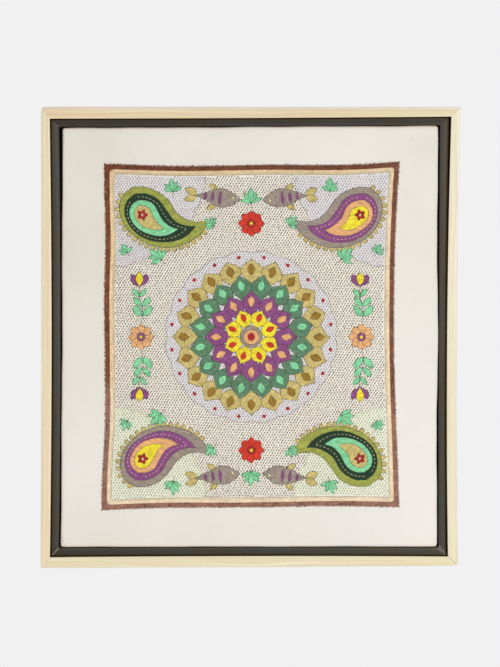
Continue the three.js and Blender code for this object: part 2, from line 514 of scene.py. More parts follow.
def sew_fill(stitches, outline, angle, colour, covers=(), coarse=1.0):
    """Fill of close rows of stitches across an outline at an angle."""
    pitch, longest = FILL_PITCH * coarse, FILL_LENGTH * coarse
    flat, *hidden = (turned(shape, -angle) for shape in (outline, *covers))
    low, high = flat[:, 1].min(), flat[:, 1].max()
    laid = []
    for level in np.arange(low + pitch * 0.4, high, pitch):
        spans = spans_inside(flat, level)
        for cover in hidden:
            spans = without(spans, spans_inside(cover, level))
        for a, b in spans:
            if b - a < FILL_LEAST:
                continue
            breaks = np.linspace(a, b, max(int(round((b - a) / longest)), 1) + 1)
            breaks[1:-1] += RNG.uniform(-0.35, 0.35) * longest
            laid += [(*ends, level) for ends in zip(breaks[:-1], breaks[1:])]
    if not laid:
        return
    count = len(laid)
    start, end, level = np.array(laid).T
    starts = np.stack([start - RNG.uniform(*FILL_OVERLAP, count), level], 1)
    ends = np.stack([end + RNG.uniform(*FILL_OVERLAP, count), level], 1)
    starts, ends = (turned(v + RNG.normal(0, 0.05, v.shape), angle) for v in (starts, ends))
    strands = np.repeat(RNG.normal(1, 0.05, count // STRAND + 1), STRAND)[:count]
    tone = strands * RNG.normal(1, 0.12, count)
    colours = np.clip(colour * tone[:, None], 0, 1)
    rise = RNG.uniform(0.42, 0.62, count)
    stitches.add(starts, ends, pitch * 1.5, colours, rise, low=0.14, sink=0.1)


# ---- the design

# A traditional layout of the kind: a lotus in the middle, a kalka in each corner, and rosettes,
# fish, flowering stems and sprigs between. Each motif covers the ones before it.

class Design:
    """Motifs as (outline, colour, angle of the stitches, edge's colour), and lines of stitches
    as (points, colour, width): stems under the motifs and details over them."""

    def __init__(self):
        self.motifs, self.stems, self.details = [], [], []

    def motif(self, outline, colour, angle, edge="ink"):
        """A filled shape. Its outline wavers as a hand-drawn one does."""
        turn = even_turns(len(outline))[:, None]
        waver = sum(np.sin(k * turn + RNG.uniform(0, 6.3, 2)) for k in (2, 3, 5))
        outline = outline + waver * min(0.22, np.ptp(outline, axis=0).max() * 0.012)
        self.motifs.append((outline, colour, angle, edge))

    def leaf(self, base, turn, length, width, colour, slant, edge="ink", **form):
        """A leaf or petal. slant is how its stitches are turned from its own direction."""
        self.motif(leaf(base, turn, length, width, **form), colour, turn + slant, edge)

    def outlines(self):
        return [motif[0] for motif in self.motifs]


ACROSS = math.pi / 2  # the slant of stitches that lie across a leaf
MEDALLION = (1.0, 0.5)
DISC_RADIUS = 94.0
DOTS_RADIUS = 87.5
# Rings of petals: how many, from and to what radius, how wide, and their colours
LOTUS_RINGS = (
    (20, 56.0, 86.0, 24.0, "khaki", "olive"),
    (16, 38.0, 69.0, 23.0, "leaf", "mint"),
    (12, 20.0, 51.0, 21.5, "purple", "orange"),
    (8, 8.0, 32.0, 17.5, "yellow", "red"),
)


def draw_lotus(design):
    centre = np.array(MEDALLION)
    for turn in even_turns(LOTUS_RINGS[0][0], 0.5):
        dot = circle(centre + DOTS_RADIUS * heading(turn), 1.7, 12)
        design.motif(dot, "crimson", turn, "crimson")
    for k, (count, low, high, wide, outer, inner) in enumerate(LOTUS_RINGS):
        long = high - low
        for turn in even_turns(count, 0.5 * (k % 2)):
            base = centre + heading(turn) * low
            design.leaf(base, turn, long, wide, outer, ACROSS, belly=0.56, tip=1.8, count=22)
            drop = base + heading(turn) * long * 0.38
            design.leaf(drop, turn, long * 0.44, wide * 0.34, inner, 0, tip=1.4)
    design.motif(scalloped(centre, 12.5, 8, 1.6), "grey", 0.4)
    design.motif(circle(centre, 8.4), "orange", 1.2)
    design.motif(circle(centre, 4.0, 20), "crimson", 0.2)


# Corner kalkas: where the round end lies, which way the body points and curls, and threads
LEAF_KALKA = ("moss", "bottle", "mint", "khaki")
DUSK_KALKA = ("grey", "purple", "orange", "yellow")
KALKAS = (
    (129.0, 163.0, 252, -1, DUSK_KALKA),
    (-127.0, 163.0, 288, 1, LEAF_KALKA),
    (-127.0, -162.0, 72, -1, DUSK_KALKA),
    (129.0, -162.0, 108, 1, LEAF_KALKA),
)
KALKA_LENGTH = 110.0
KALKA_WIDTH = 54.0
KALKA_BEND = 2.1
KALKA_POINTS = 34
# Each layer's share of the whole, how far up the body it starts, and its stitches' slant
KALKA_LAYERS = ((1.0, 0.0, 90), (0.79, 0.065, 40), (0.55, 0.135, 90), (0.35, 0.19, 130))


def draw_kalka(design, x, z, angle, curl, threads):
    """A kalka's fringe of small leaves, its layers, a flower in its heart and a line of
    running stitch."""
    angle = math.radians(angle)

    def up_body(share):
        return np.array([x, z]) + heading(angle) * KALKA_LENGTH * share

    def body(share, start):
        bend = curl * KALKA_BEND * share**0.5
        long, wide = KALKA_LENGTH * share, KALKA_WIDTH * share
        return leaf(up_body(start), angle, long, wide, bend, belly=0.3, count=KALKA_POINTS)

    bodies = [body(share, start) for share, start, slant in KALKA_LAYERS]
    back = bodies[0][: KALKA_POINTS - 4] if curl < 0 else bodies[0][: -KALKA_POINTS + 3 : -1]
    back = resampled(back, 7.4)
    for a, b in zip(back[:-1], back[1:]):
        middle = (a + b) / 2
        away = math.atan2(*(b - a)[::-1]) - curl * math.pi / 2
        away += math.pi * (heading(away) @ (middle - bodies[0].mean(0)) < 0)
        design.leaf(middle - heading(away) * 2, away, 7.6, 5.2, "khaki", 0)
    for outline, colour, (share, start, slant) in zip(bodies, threads, KALKA_LAYERS):
        design.motif(outline, colour, angle + math.radians(slant))
    heart = up_body(0.285)
    for turn in angle + even_turns(5):
        design.leaf(heart, turn, 6.4, 4.2, "crimson", 1.2)
    design.motif(circle(heart, 1.6, 12), "beige", 0.3)
    design.details.append((body(0.67, 0.1), "beige", 0.55))


# Rosettes: place, radius and colours
ROSETTES = (
    (1.0, 124.0, 14.0, "red", "crimson"),
    (1.0, -123.0, 14.0, "red", "crimson"),
    (121.0, 0.5, 14.0, "orange", "purple"),
    (-119.0, 0.5, 14.0, "orange", "purple"),
)


def draw_rosette(design, x, z, radius, colour, heart):
    for turn in even_turns(8):
        design.leaf((x, z), turn, radius, radius * 0.66, colour, ACROSS, belly=0.62)
    design.motif(circle((x, z), radius * 0.34, 16), heart, 0.7)
    design.motif(circle((x, z), radius * 0.14, 10), "yellow", 0.2)


# Fish: place, which way they face and how they tilt
FISH = (
    (-36.0, 152.0, 0, -6),
    (38.0, 152.0, 180, 6),
    (-36.0, -151.0, 0, 6),
    (38.0, -151.0, 180, -6),
)
FISH_LENGTH = 50.0
FISH_DEPTH = 20.0


def draw_fish(design, x, z, direction, tilt):
    angle = math.radians(direction + tilt)
    out, up = heading(angle), heading(angle + ACROSS)
    middle = np.array([x, z])
    tail = middle - out * FISH_LENGTH * 0.5
    for way in (-1, 1):
        turn = angle + math.pi - way * 0.6
        design.leaf(tail + out * 3, turn, 15, 8, "khaki", 1.5 * way - math.pi, curl=way * 0.5)
        turn = angle + math.pi - way * 0.7
        side_fin = middle + up * way * FISH_DEPTH * 0.3
        design.leaf(side_fin, turn, 13, 6, "khaki", 1.3 + 0.7 * way - math.pi)
    design.leaf(tail, angle, FISH_LENGTH, FISH_DEPTH, "grey", 1.1, belly=0.6, count=22)
    for along, reach in ((0.24, 4.0), (0.4, 6.2), (0.56, 7.6)):
        foot = tail + out * FISH_LENGTH * along - up * reach
        design.leaf(foot, angle + ACROSS, 2 * reach, 3.4, "purple", 0)
    head = tail + out * FISH_LENGTH * 0.84
    design.motif(circle(head + up * 1.5, 1.7, 12), "beige", 0.4)
    gill = leaf(head - out * 4 - up * 7, angle + ACROSS, 14, 5)[:14]
    design.details.append((gill, "ink", 0.5))


STEMS = ((121.0, 1), (121.0, -1), (-119.0, 1), (-119.0, -1))  # place, and up or down
STEM_START = 14.5
STEM_LENGTH = 40.0


def draw_stem(design, x, way):
    """A flowering stem from a side rosette, with leaves in pairs and a bud on top."""
    upright = ACROSS * way
    share = np.linspace(0, 1, 16)
    rise = 0.5 + way * (STEM_START + STEM_LENGTH * share)
    line = np.stack([x + 2.2 * np.sin(share * 5.5), rise], 1)
    design.stems.append((line, "bottle", 0.8))
    for k in range(3):
        size = 16 - 2.2 * k
        for hand in (-1, 1):
            turn = upright - hand * 0.85
            design.leaf(line[3 + k * 4], turn, size, size * 0.46, "mint", 0.9, curl=hand * 0.4)
    for hand, colour in ((-0.6, "purple"), (0.6, "purple"), (0.0, "yellow")):
        design.leaf(line[-1], upright + hand, 16, 8.4, colour, ACROSS, belly=0.58)


# Small sprigs: place, the way they lean, and size
SPRIGS = (
    (-97, 84, 135, 1.5), (99, 85, 42, 1.5), (-97, -83, 226, 1.5), (99, -84, 317, 1.5),
    (-84, 158, 100, 1.3), (86, 159, 82, 1.3), (-84, -157, 262, 1.3), (86, -157, 278, 1.3),
    (1, 146, 92, 1.5), (1, -146, 268, 1.5),
    (-40, 121, 140, 1.1), (42, 122, 44, 1.1), (-40, -120, 222, 1.1), (42, -121, 316, 1.1),
    (-134, 92, 120, 1.0), (137, 92, 60, 1.0), (-134, -91, 240, 1.0), (137, -92, 300, 1.0),
)
# Each blade's turn from the sprig's own direction, and its length
SPRIG_BLADES = ((-1.05, 8.5), (-0.5, 9.5), (0.05, 11.5), (0.55, 9.5), (1.1, 8.0))


def draw_sprig(design, x, z, lean, size):
    angle = math.radians(lean)
    top = np.array([x, z])
    design.stems.append((np.array([top, top - 4 * size * heading(angle)]), "trunk", 0.7))
    for hand, long in SPRIG_BLADES:
        turn = angle + hand + RNG.normal(0, 0.06)
        long, wide = long * size, long * size * 0.36
        design.leaf(top, turn, long, wide, "mint", 0.8, "bottle", curl=hand * 0.3)


MOTIFS = (
    (draw_kalka, KALKAS), (draw_rosette, ROSETTES), (draw_fish, FISH), (draw_stem, STEMS),
    (draw_sprig, SPRIGS),
)


def draw_design():
    design = Design()
    draw_lotus(design)
    for draw, places in MOTIFS:
        for row in places:
            draw(design, *row)
    return design


# Where one ground zone meets the next: an outline, the zone inside it, and its edging thread.
# The four corners come first, then the disc that covers them.
CORNER_X, CORNER_Z, CORNER_RADIUS = 162.0, 190.0, 116.0
ZONE_EDGES = [
    (scalloped((way_x * CORNER_X, way_z * CORNER_Z), CORNER_RADIUS, 40, 3.0), zone, thread)
    for way_z, zone, thread in ((-1, GREEN, "lime"), (1, LAVENDER, "slate"))
    for way_x in (-1, 1)
]
ZONE_EDGES.append((scalloped(MEDALLION, DISC_RADIUS, 20, 3.0), LAVENDER, "slate"))


def zones_at(points):
    """Each point's ground zone."""
    zone = np.full(len(points), CREAM)
    for outline, inner_zone, thread in ZONE_EDGES:
        zone[inside(points, outline)] = inner_zone
    return zone


# ---- sewing the kantha

LATTICE_REACH = 270


def ground_lattice(phase, shift):
    """Middles of the ground's running stitches, row after slanting row, with a hand's small
    drift. phase moves them along the rows and shift across, in shares of a pitch."""
    rows = np.arange(-LATTICE_REACH, LATTICE_REACH, ROW_PITCH)[:, None]
    steps = np.arange(-LATTICE_REACH, LATTICE_REACH, STITCH_PITCH)
    number = np.arange(len(rows))[:, None]
    along = steps + STITCH_PITCH * (0.25 * np.sin(number * 0.37) + 0.5 * (number % 2) + phase)
    across = rows + ROW_PITCH * shift + 0.5 * np.sin(steps / 24 + number * 0.04)
    centres = np.stack([along, across], -1).reshape(-1, 2)
    return turned(centres + RNG.normal(0, 0.17, centres.shape), ROW_ANGLE)


def lay_ground(stitches, lattice, covers, threads, widths, long, rise, spread):
    """Ground stitches over the panel, but for the motifs, in each zone's own thread and
    width."""
    centres = lattice[inside(lattice, panel_outline(GROUND_INSET + long / 4))]
    centres = centres[outside_all(centres, covers)]
    count = len(centres)
    angle = ROW_ANGLE + RNG.normal(0, 0.06, count)
    half = long / 2 * RNG.normal(1, 0.12, count)
    way = heading(angle) * half[:, None]
    x, z = centres.T
    patches = 1 + spread * 0.5 * (np.sin(x / 17 + np.sin(z / 23)) + np.sin(z / 13 - x / 41))
    tone = RNG.normal(1, spread, count) * patches
    zone = zones_at(centres)
    colours = np.clip(linear(threads)[zone] * tone[:, None], 0, 1)
    width = np.array(widths)[zone] * RNG.normal(1, 0.1, count)
    stitches.add(centres - way, centres + way, width, colours, rise)


FADE_LINE = -62.0  # above this height the borders have kept their colour, but for the right
TOP_BAND = 166.0  # and above this one they are darker
CLUMP = 3  # neighbouring stitches that share a tone


def band_tones(points, fresh, pale, right, top, spread):
    """A border's colours: fresh, or faded below the line and by so much on the right side,
    darker at the top by its factor, and uneven."""
    x, z = points.T
    clumps = RNG.normal(0, 1, (2, len(x) // CLUMP + 1))
    lighter, paler = np.repeat(clumps, CLUMP, axis=1)[:, : len(x)]
    line = FADE_LINE - 14 * (x / 160) + 6 * np.sin(x / 5 + z / 3) + RNG.normal(0, 6, len(x))
    below = np.clip(0.5 + (line - z) / 22, 0, 1)
    faded = np.maximum(below, right * np.clip((x - 100) / 40, 0, 1))
    share = np.clip(faded + spread * paler, 0, 1)[:, None]
    colours = shade(fresh) * (1 - share) + shade(pale) * share
    worn = 0.5 * np.sin(x / 7 + z / 11) + 0.5 * np.sin(x / 2.3 - z / 3.3)
    tone = 1 + spread * (worn + lighter + RNG.normal(0, 1, len(x)))
    return np.clip(colours * (tone * np.where(z > TOP_BAND, top, 1))[:, None], 0, 1)


BROWN = {"fresh": "brown", "pale": "faded", "right": 0.25, "top": 0.86}
PEACH = {"fresh": "peach", "pale": "pale_peach", "right": 0.7, "top": 0.9, "spread": 0.05}

BROWN_PITCH = 0.8
BROWN_SLANT = 1.3  # how far along the band a stitch leans from its outer to its inner end
# Rows of short slanting stitches over the band: how far in each row's middle lies and how far
# apart its stitches are, and half a stitch's reach across the band and along it
BROWN_ROWS = ((0.65, 2.1), (2.7, 1.5), (4.4, 1.5))
BROWN_STITCH = (1.1, 0.9)
BROWN_WIDTH = 1.1


def sew_brown(stitches):
    """The brown band: stitches across it, side by side, that mitre at its corners, and over
    them the rows of slanting ones, the outermost of which leaves the edge toothed."""
    for side in SIDES:
        ahead, inward = AHEAD[side], INWARD[side]
        outer, inner = resampled(panel_side(side, 0), BROWN_PITCH), panel_side(side, BROWN_BAND)
        count = len(outer)
        run = np.linalg.norm(outer - outer[0], axis=1)
        from_end = np.minimum(run, run[-1] - run)
        reach = np.interp(outer @ ahead, inner @ ahead, inner @ inward) - outer @ inward
        # its inner edge follows the peach band's round corners
        curve = from_corners(PEACH_CORNERS, side, run < run[-1] / 2)
        bite = np.clip(curve + BROWN_BAND - from_end, 0, curve)
        reach += curve - np.sqrt(curve**2 - bite**2) + 0.5 * (bite > 0)
        reach = np.minimum(reach, from_end + 0.5)
        fray = RNG.normal(0.1, 0.15, count) - 0.65 * np.clip(from_end / 8, 0, 1)
        reach += RNG.normal(0.12, 0.25, count)
        lean = BROWN_SLANT / 2 * np.clip(from_end / 12, 0, 1)[:, None] * ahead
        starts = outer - inward * fray[:, None] - lean + RNG.normal(0, 0.08, (count, 2))
        ends = outer + inward * reach[:, None] + lean
        colours = band_tones(outer, **BROWN, spread=0.04)
        width = BROWN_PITCH * 1.7
        stitches.add(starts, ends, width, colours, rise=0.5, low=0.22, sink=0.0)

        for inset, step in BROWN_ROWS:
            middle = resampled(panel_side(side, inset), step)[2:-2]
            middle += RNG.normal(0, 0.25, middle.shape)
            half = BROWN_STITCH @ np.array([inward, -ahead])
            half = half * RNG.normal(1, 0.15, (len(middle), 1))
            colours = band_tones(middle, **BROWN, spread=0.19)
            starts, ends = middle - half, middle + half
            stitches.add(starts, ends, BROWN_WIDTH, colours, rise=0.68, low=0.38, sink=0.1)


def sew_peach(stitches):
    """The peach band: rows of long stitches side by side, darker inwards, and a thin brown
    line of running stitch inside them."""
    for row, tone in enumerate(PEACH_TONES):
        line = panel_outline(PEACH_START + (row + 0.5) * PEACH_PITCH, row * PEACH_PITCH)
        sew_line(
            stitches, line, lambda middle: band_tones(middle, **PEACH) * tone, step=4.6, gap=-0.2,
            width=PEACH_PITCH * 1.3, rise=0.5, closed=True, low=0.14, sink=0.0,
        )
    sew_line(
        stitches, panel_outline(PEACH_END + 0.25), shade("edging"), step=2.6, gap=0.8,
        width=0.9, rise=0.45, closed=True,
    )


OUTLINE_WIDTH = 0.62


def sew_zone_edges(stitches, covers):
    """Back stitch along the zones' edges."""
    ground = panel_outline(GROUND_INSET)
    for k, (outline, inner_zone, thread) in enumerate(ZONE_EDGES):
        points = resampled(outline, 2.3, closed=True)
        starts, ends = points[:-1], points[1:]
        middle = (starts + ends) / 2
        hidden = covers + [later[0] for later in ZONE_EDGES[k + 1 :]]
        keep = inside(middle, ground) & outside_all(middle, hidden)
        colours = varied(shade(thread), keep.sum())
        stitches.add(starts[keep], ends[keep], OUTLINE_WIDTH, colours, rise=0.5)


def sew_motifs(fills, outlines, design, coarse=1.0):
    """Each motif's fill and dark edge, as far as later motifs leave them in sight."""
    shapes = design.outlines()
    for k, (shape, colour, angle, edge) in enumerate(design.motifs):
        low, high = shape.min(0), shape.max(0)
        covers = [
            later for later in shapes[k + 1 :]
            if (later.min(0) < high).all() and (later.max(0) > low).all()
        ]
        sew_fill(fills, shape, angle, shade(colour), covers, coarse)
        sew_line(
            outlines, shape, shade(edge), step=2.2, gap=0.35, width=OUTLINE_WIDTH,
            closed=True, covers=covers, rise=0.66, low=0.3, sink=0.2,
        )
    for line, colour, width in design.stems:
        sew_line(
            outlines, line, shade(colour), step=2.0, gap=0.1, width=width, covers=shapes, rise=0.55
        )
    for line, colour, width in design.details:
        sew_line(
            outlines, line, shade(colour), step=4.4, gap=1.9, width=width, rise=0.7, low=0.3,
            sink=0.3,
        )


PIECES = (
    "running_dark", "running_pale", "fills", "outlines", "borders", "reverse_running",
    "reverse_fills",
)


def sew_kantha(thread):
    """Every piece of the embroidery, on the face and on the reverse."""
    design = draw_design()
    covers = design.outlines()
    sewn = {name: Stitches() for name in PIECES}
    dark, pale, fills, outlines, borders, behind, behind_fills = sewn.values()
    lattice = ground_lattice(phase=0.0, shift=0.0)
    lay_ground(dark, lattice, covers, ZONE_DARK, ZONE_WIDTHS, long=2.6, rise=0.3, spread=0.2)
    lattice = ground_lattice(phase=0.5, shift=0.5)
    lay_ground(pale, lattice, covers, ZONE_PALE, [1.2] * 3, long=2.9, rise=0.42, spread=0.03)
    sew_motifs(fills, outlines, design)
    sew_zone_edges(outlines, covers)
    sew_brown(borders)
    sew_peach(borders)

    lattice = ground_lattice(phase=0.5, shift=0.0)
    lay_ground(behind, lattice, covers, ZONE_DARK, [0.55] * 3, long=1.6, rise=0.28, spread=0.16)
    sew_motifs(behind_fills, Stitches(), design, coarse=1.42)
    sew_brown(behind_fills)
    sew_peach(behind_fills)
    return [
        stitches.build(f"stitch_{name}", thread, reverse=name.startswith("reverse"))
        for name, stitches in sewn.items()
    ]


# ---- the cloth

# Each stretched edge stands out by so much at its start and end, with half waves between,
# and the shift dies out this far inside it
EDGE_ENDS = by_side((-1.1, 1.85), (0.55, 0.35), (0.3, 0.3), (3.5, 0.4))
EDGE_WAVES = by_side(
    ((1, -0.1), (4, 0.15), (9, 0.1), (13, 0.15)),
    ((3, -0.38), (5, 0.4), (17, 0.12)),
    ((1, -0.1), (6, 0.12), (15, 0.08)),
    ((1, -0.52), (2, -0.15), (5, -0.25), (16, 0.1)),
)
EDGE_REACH = 25.0
# Each edge is darkened and browned along its rim, where it bends back beside the step, as
# painted shade: how much of its colour is left, and over what width
EDGE_SHADE = by_side((0.78, 0.71, 0.63), (0.97, 0.93, 0.89), (0.94, 0.88, 0.81), (0.95, 0.87, 0.77))
EDGE_SHADE_WIDTH = 3.2
# Soft patches of painted shade and painted light on the cloth, darkest at the upper left:
# place, radius and how much of each of red, green and blue is left
CLOTH_LIGHT_AND_SHADE = (
    (-165, 212, 38, (0.96, 0.95, 0.92)),
    (-192, 104, 74, (0.94, 0.925, 0.895)),
    (-192, -30, 50, (0.99, 0.985, 0.98)),
    (-190, -140, 56, (1.03, 1.03, 1.06)),
    (-160, -212, 40, (0.98, 0.975, 0.96)),
    (84, 210, 62, (1.02, 1.03, 1.06)),
    (188, 205, 14, (0.955, 0.955, 0.955)),
    (186, 118, 44, (0.975, 0.975, 0.985)),
    (192, -30, 80, (1.0, 1.01, 1.05)),
    (192, -170, 80, (1.01, 1.015, 1.06)),
    (90, -208, 70, (0.965, 0.975, 1.0)),
    (-60, -218, 40, (0.985, 0.98, 0.99)),
)
# Small marks: place, radius and strength
CLOTH_MARKS = (
    (-139.5, 228.2, 1.2, 0.6),
    (-110.8, 228.4, 1.4, 0.75),
    (-107.6, 228.3, 1.4, 0.7),
    (51.2, 228.4, 1.2, 0.6),
    (-202.3, -217.8, 1.1, 0.6),
    (-201.2, -221.6, 0.9, 0.7),
    (-203.0, -223.4, 1.1, 0.7),
    (-199.0, -227.0, 1.3, 0.45),
    (-203.4, 219, 1.6, 0.5),
    (-203.6, 211, 1.6, 0.4),
    (-126.5, 194.5, 1.3, 0.12),
    (188.5, 193, 1.8, 0.1),
    (176, 215, 2.4, 0.07),
)


def stretched(points):
    """Points of the straight-edged rectangle where the real edges hold them."""
    def reach(side, share, inset):
        start, end = EDGE_ENDS[side]
        out = start + (end - start) * share + half_waves(EDGE_WAVES[side], share)
        return out * np.clip(1 - inset / EDGE_REACH, 0, 1)

    return moved_out(points, CLOTH_HALF, reach)


def grid_lines(half):
    """Places of the grid's lines across the face, closer together by its edges."""
    inner = half - CLOTH_CORNER
    count = int(round(2 * inner / GRID_PITCH))
    edge = np.array([1.0, 0.6, 0.25]) * (CLOTH_CORNER - CLOTH_BEND)
    return np.concatenate([-inner - edge, np.linspace(-inner, inner, count + 1), (inner + edge)[::-1]])


def edge_section():
    """From the face round the edge and in behind: inset, depth behind the face, and way run."""
    loop = rounded_section([
        (0, 0, CLOTH_BEND), (0, CLOTH_DEPTH, CLOTH_BEND), (CLOTH_TURN, CLOTH_DEPTH, 0),
        (CLOTH_TURN, 0, 0),
    ], longest=4.7)
    section = loop[: loop.sum(1).argmax() + 1]
    return np.column_stack([section, run_along(section)])


def cloth_tint(points, depth):
    """The cloth's colour: cream at the margins, the zone's ground inside the borders, with
    painted light and shade in soft patches and painted shade along its edges. The fourth
    number says where it is quilted."""
    quilted = inside(points, panel_outline(GROUND_INSET)) & (depth < CLOTH_BEND)
    ground = linear(ZONE_CLOTH)[zones_at(points)]
    tint = np.where(quilted[:, None], ground, linear(CLOTH_CREAM))
    # soft patches of painted light and painted shade on the cloth
    for *middle, radius, left in CLOTH_LIGHT_AND_SHADE:
        away = np.linalg.norm(points - middle, axis=1) / radius
        tint = tint * (1 - (1 - np.array(left)) * np.exp(-(away**2))[:, None])
    # painted shade along each edge of the cloth, where it bends back beside the step
    for side, edge_shade in EDGE_SHADE.items():
        inset = along_side(side, points, CLOTH_HALF)[1]
        share = np.clip(1 - inset / EDGE_SHADE_WIDTH, 0, 1)[:, None]
        tint = tint * (1 - (1 - np.array(edge_shade)) * share)
    return np.column_stack([tint, quilted])


def make_cloth(material):
    """The face as a grid, then a ring of points for each step of the edge's section."""
    face = np.stack(np.meshgrid(*(grid_lines(half) for half in CLOTH_HALF)), -1)
    index = np.arange(face[..., 0].size).reshape(face.shape[:2])
    rim = np.concatenate([index[-1, :-1], index[:0:-1, -1], index[0, :0:-1], index[:-1, 0]])
    face = face.reshape(-1, 2)
    edge, half = face[rim], CLOTH_HALF - CLOTH_BEND
    outward = np.where(np.isclose(np.abs(edge), half), np.sign(edge), 0)
    inset, behind, run = edge_section()[1:].T[..., None, None]
    points = np.vstack([face, (edge / half * (CLOTH_HALF - inset)).reshape(-1, 2)])
    flat = np.vstack([face, (edge + outward * run).reshape(-1, 2)])
    depth = np.concatenate([np.zeros(len(face)), np.repeat(behind, len(rim))])

    rings = np.vstack([rim, np.arange(len(face), len(points)).reshape(-1, len(rim))])
    rings = np.column_stack([rings, rings[:, 0]])
    faces = np.vstack([cell_corners(grid).reshape(-1, 4) for grid in (index, rings)])
    heights = np.where(depth > 0, 0, relief(points)) - depth
    vertices = place(stretched(round_corners(points, CLOTH_HALF, CLOTH_CORNER)), heights)
    attributes = {"tint": cloth_tint(points, depth), "flat": np.column_stack([flat, depth])}
    cloth = add_mesh(
        "kantha_sheet", vertices, faces, material, attributes,
        flat_map(flat, faces),
    )
    layers = cloth.modifiers.new("layers", "SOLIDIFY")
    layers.thickness = CLOTH_SHEET * MM
    layers.offset = -1
    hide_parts("kantha")
    return cloth


# ---- wooden rails

FIT_GAP = 0.3  # between one wooden part and the next, as in the CAD
MITRE_GAP = 0.05

# How far the hand-made rails stand out from true at a side's start, middle and end: along the
# frame's outer edge and the lip's inner edge, and along the step's outer and inner edges
RAIL_WANDER = by_side(
    ((-0.1, -0.1, 0.2), (-1.7, -0.8, 1.05)),
    ((2.7, -1.1, 1.1), (3.9, -0.4, 1.3)),
    ((-1.2, 0.1, 0.8), (0.0, -0.85, 0.3)),
    ((0.7, -0.5, -0.9), (2.2, -0.4, 1.2)),
)
STEP_WANDER = by_side(
    ((-1.7, -0.8, 1.05), (-1.6, -0.6, 0.95)),
    ((2.6, -0.5, 0.9), (0.8, -0.2, 0.0)),
    ((0.0, -0.85, 0.3), (-0.3, -0.7, -0.4)),
    ((2.0, -0.5, 1.0), (1.5, -1.2, 0.2)),
)
# For the corner where each side starts: its rounding in plan, how clearly the joint shows in
# the wood, and how chipped the step's mitre is and over what width
CORNERS = {
    "round": by_side(4.6, 0.8, 5.0, 1.2),
    "joint": by_side(0.0, 0.3, 1.0, 0.1),
    "chips": by_side(0.15, 0.12, 0.45, 1.0),
    "reach": by_side(1.6, 1.2, 4.2, 1.1),
}
# Each rail was cut from wood of its own tone and is worn its own way, and has painted light
# on it: factors of the wood's colour across the rail, at the stops from its outer edge
# inwards, which also paint a highlight along the outer arris and highlight and shade by the
# lip's inner edge, and at its start and end. Its outer side has the wood's own colour.
PLAIN = (1, 1, 1)
RAIL_STOPS = (0.0, 0.3, 1.7, 3.0, 8.0, 10.5)
RAIL_TONES_AND_LIGHT = by_side(
    (PLAIN, (0.98, 1.12, 1.6), (1, 1.08, 1.36), (1, 1.02, 1.08), PLAIN, (1, 1.02, 1.06)),
    (
        PLAIN, (0.965, 0.97, 1.09), (1, 1, 1.02), (1.03, 1.03, 1.03), (0.98, 0.99, 0.98),
        (0.95, 0.96, 0.95),
    ),
    (PLAIN, (0.96, 1.01, 1.17), (0.98, 1, 0.99), (0.99, 0.98, 0.94), PLAIN, (0.96, 0.97, 0.97)),
    (PLAIN, (0.94, 1.06, 1.29), (0.92, 0.93, 0.98), PLAIN, PLAIN, (1.05, 1.08, 1.14)),
)
RAIL_ENDS = by_side(
    ((0.95, 0.87, 0.81), (0.96, 0.96, 0.92)),
    ((1.01, 1.09, 1.2), (0.94, 1.0, 1.09)),
    ((0.95, 0.99, 0.98), (0.99, 1.02, 1.04)),
    ((1.03, 1.0, 1.0), (1.0, 0.995, 0.99)),
)
# Each step's charcoal paint, with painted light on it: its colours across, from the lip to the
# cloth, paint the shade by the lip and the highlights and shade of its rounded top, and
# factors for its start and end paint it lighter or darker along it as the light falls
STEP_STOPS = (0.4, 1.4, 2.6, 4.2, 5.8, 6.8, 7.6)
STEP_PAINT_AND_LIGHT = by_side(
    ((72, 60, 36), (66, 60, 50), (58, 53, 46), (55, 50, 46), (57, 52, 50), (66, 60, 54), (64, 57, 44)),
    ((84, 70, 42), (86, 76, 52), (94, 87, 77), (79, 73, 65), (67, 62, 56), (70, 65, 59), (68, 62, 56)),
    ((70, 61, 36), (66, 61, 47), (62, 59, 52), (62, 59, 55), (62, 59, 55), (68, 65, 59), (84, 75, 63)),
    ((76, 62, 34), (84, 75, 52), (78, 74, 64), (70, 68, 62), (82, 80, 80), (68, 65, 65), (54, 51, 46)),
)
STEP_LIGHT_ENDS = by_side(
    (0.98, 1.32), (1.12, 0.92), (1.32, 1.04), ((0.97, 0.97, 0.96), (1.18, 1.22, 1.28))
)

# Where a rail's rings of points lie: close together by its ends, and even between
NEAR_END = np.array([0, 0.4, 0.9, 1.5, 2.2, 3.0, 4.2, 6.5, 10.0])
EVEN_FROM = 16
EVEN_COUNT = 44
MAP_RUN = 520.0  # millimetres of a rail across the whole of its map
PLANK = 700.0  # how far apart in the wood the four rails of a kind are cut


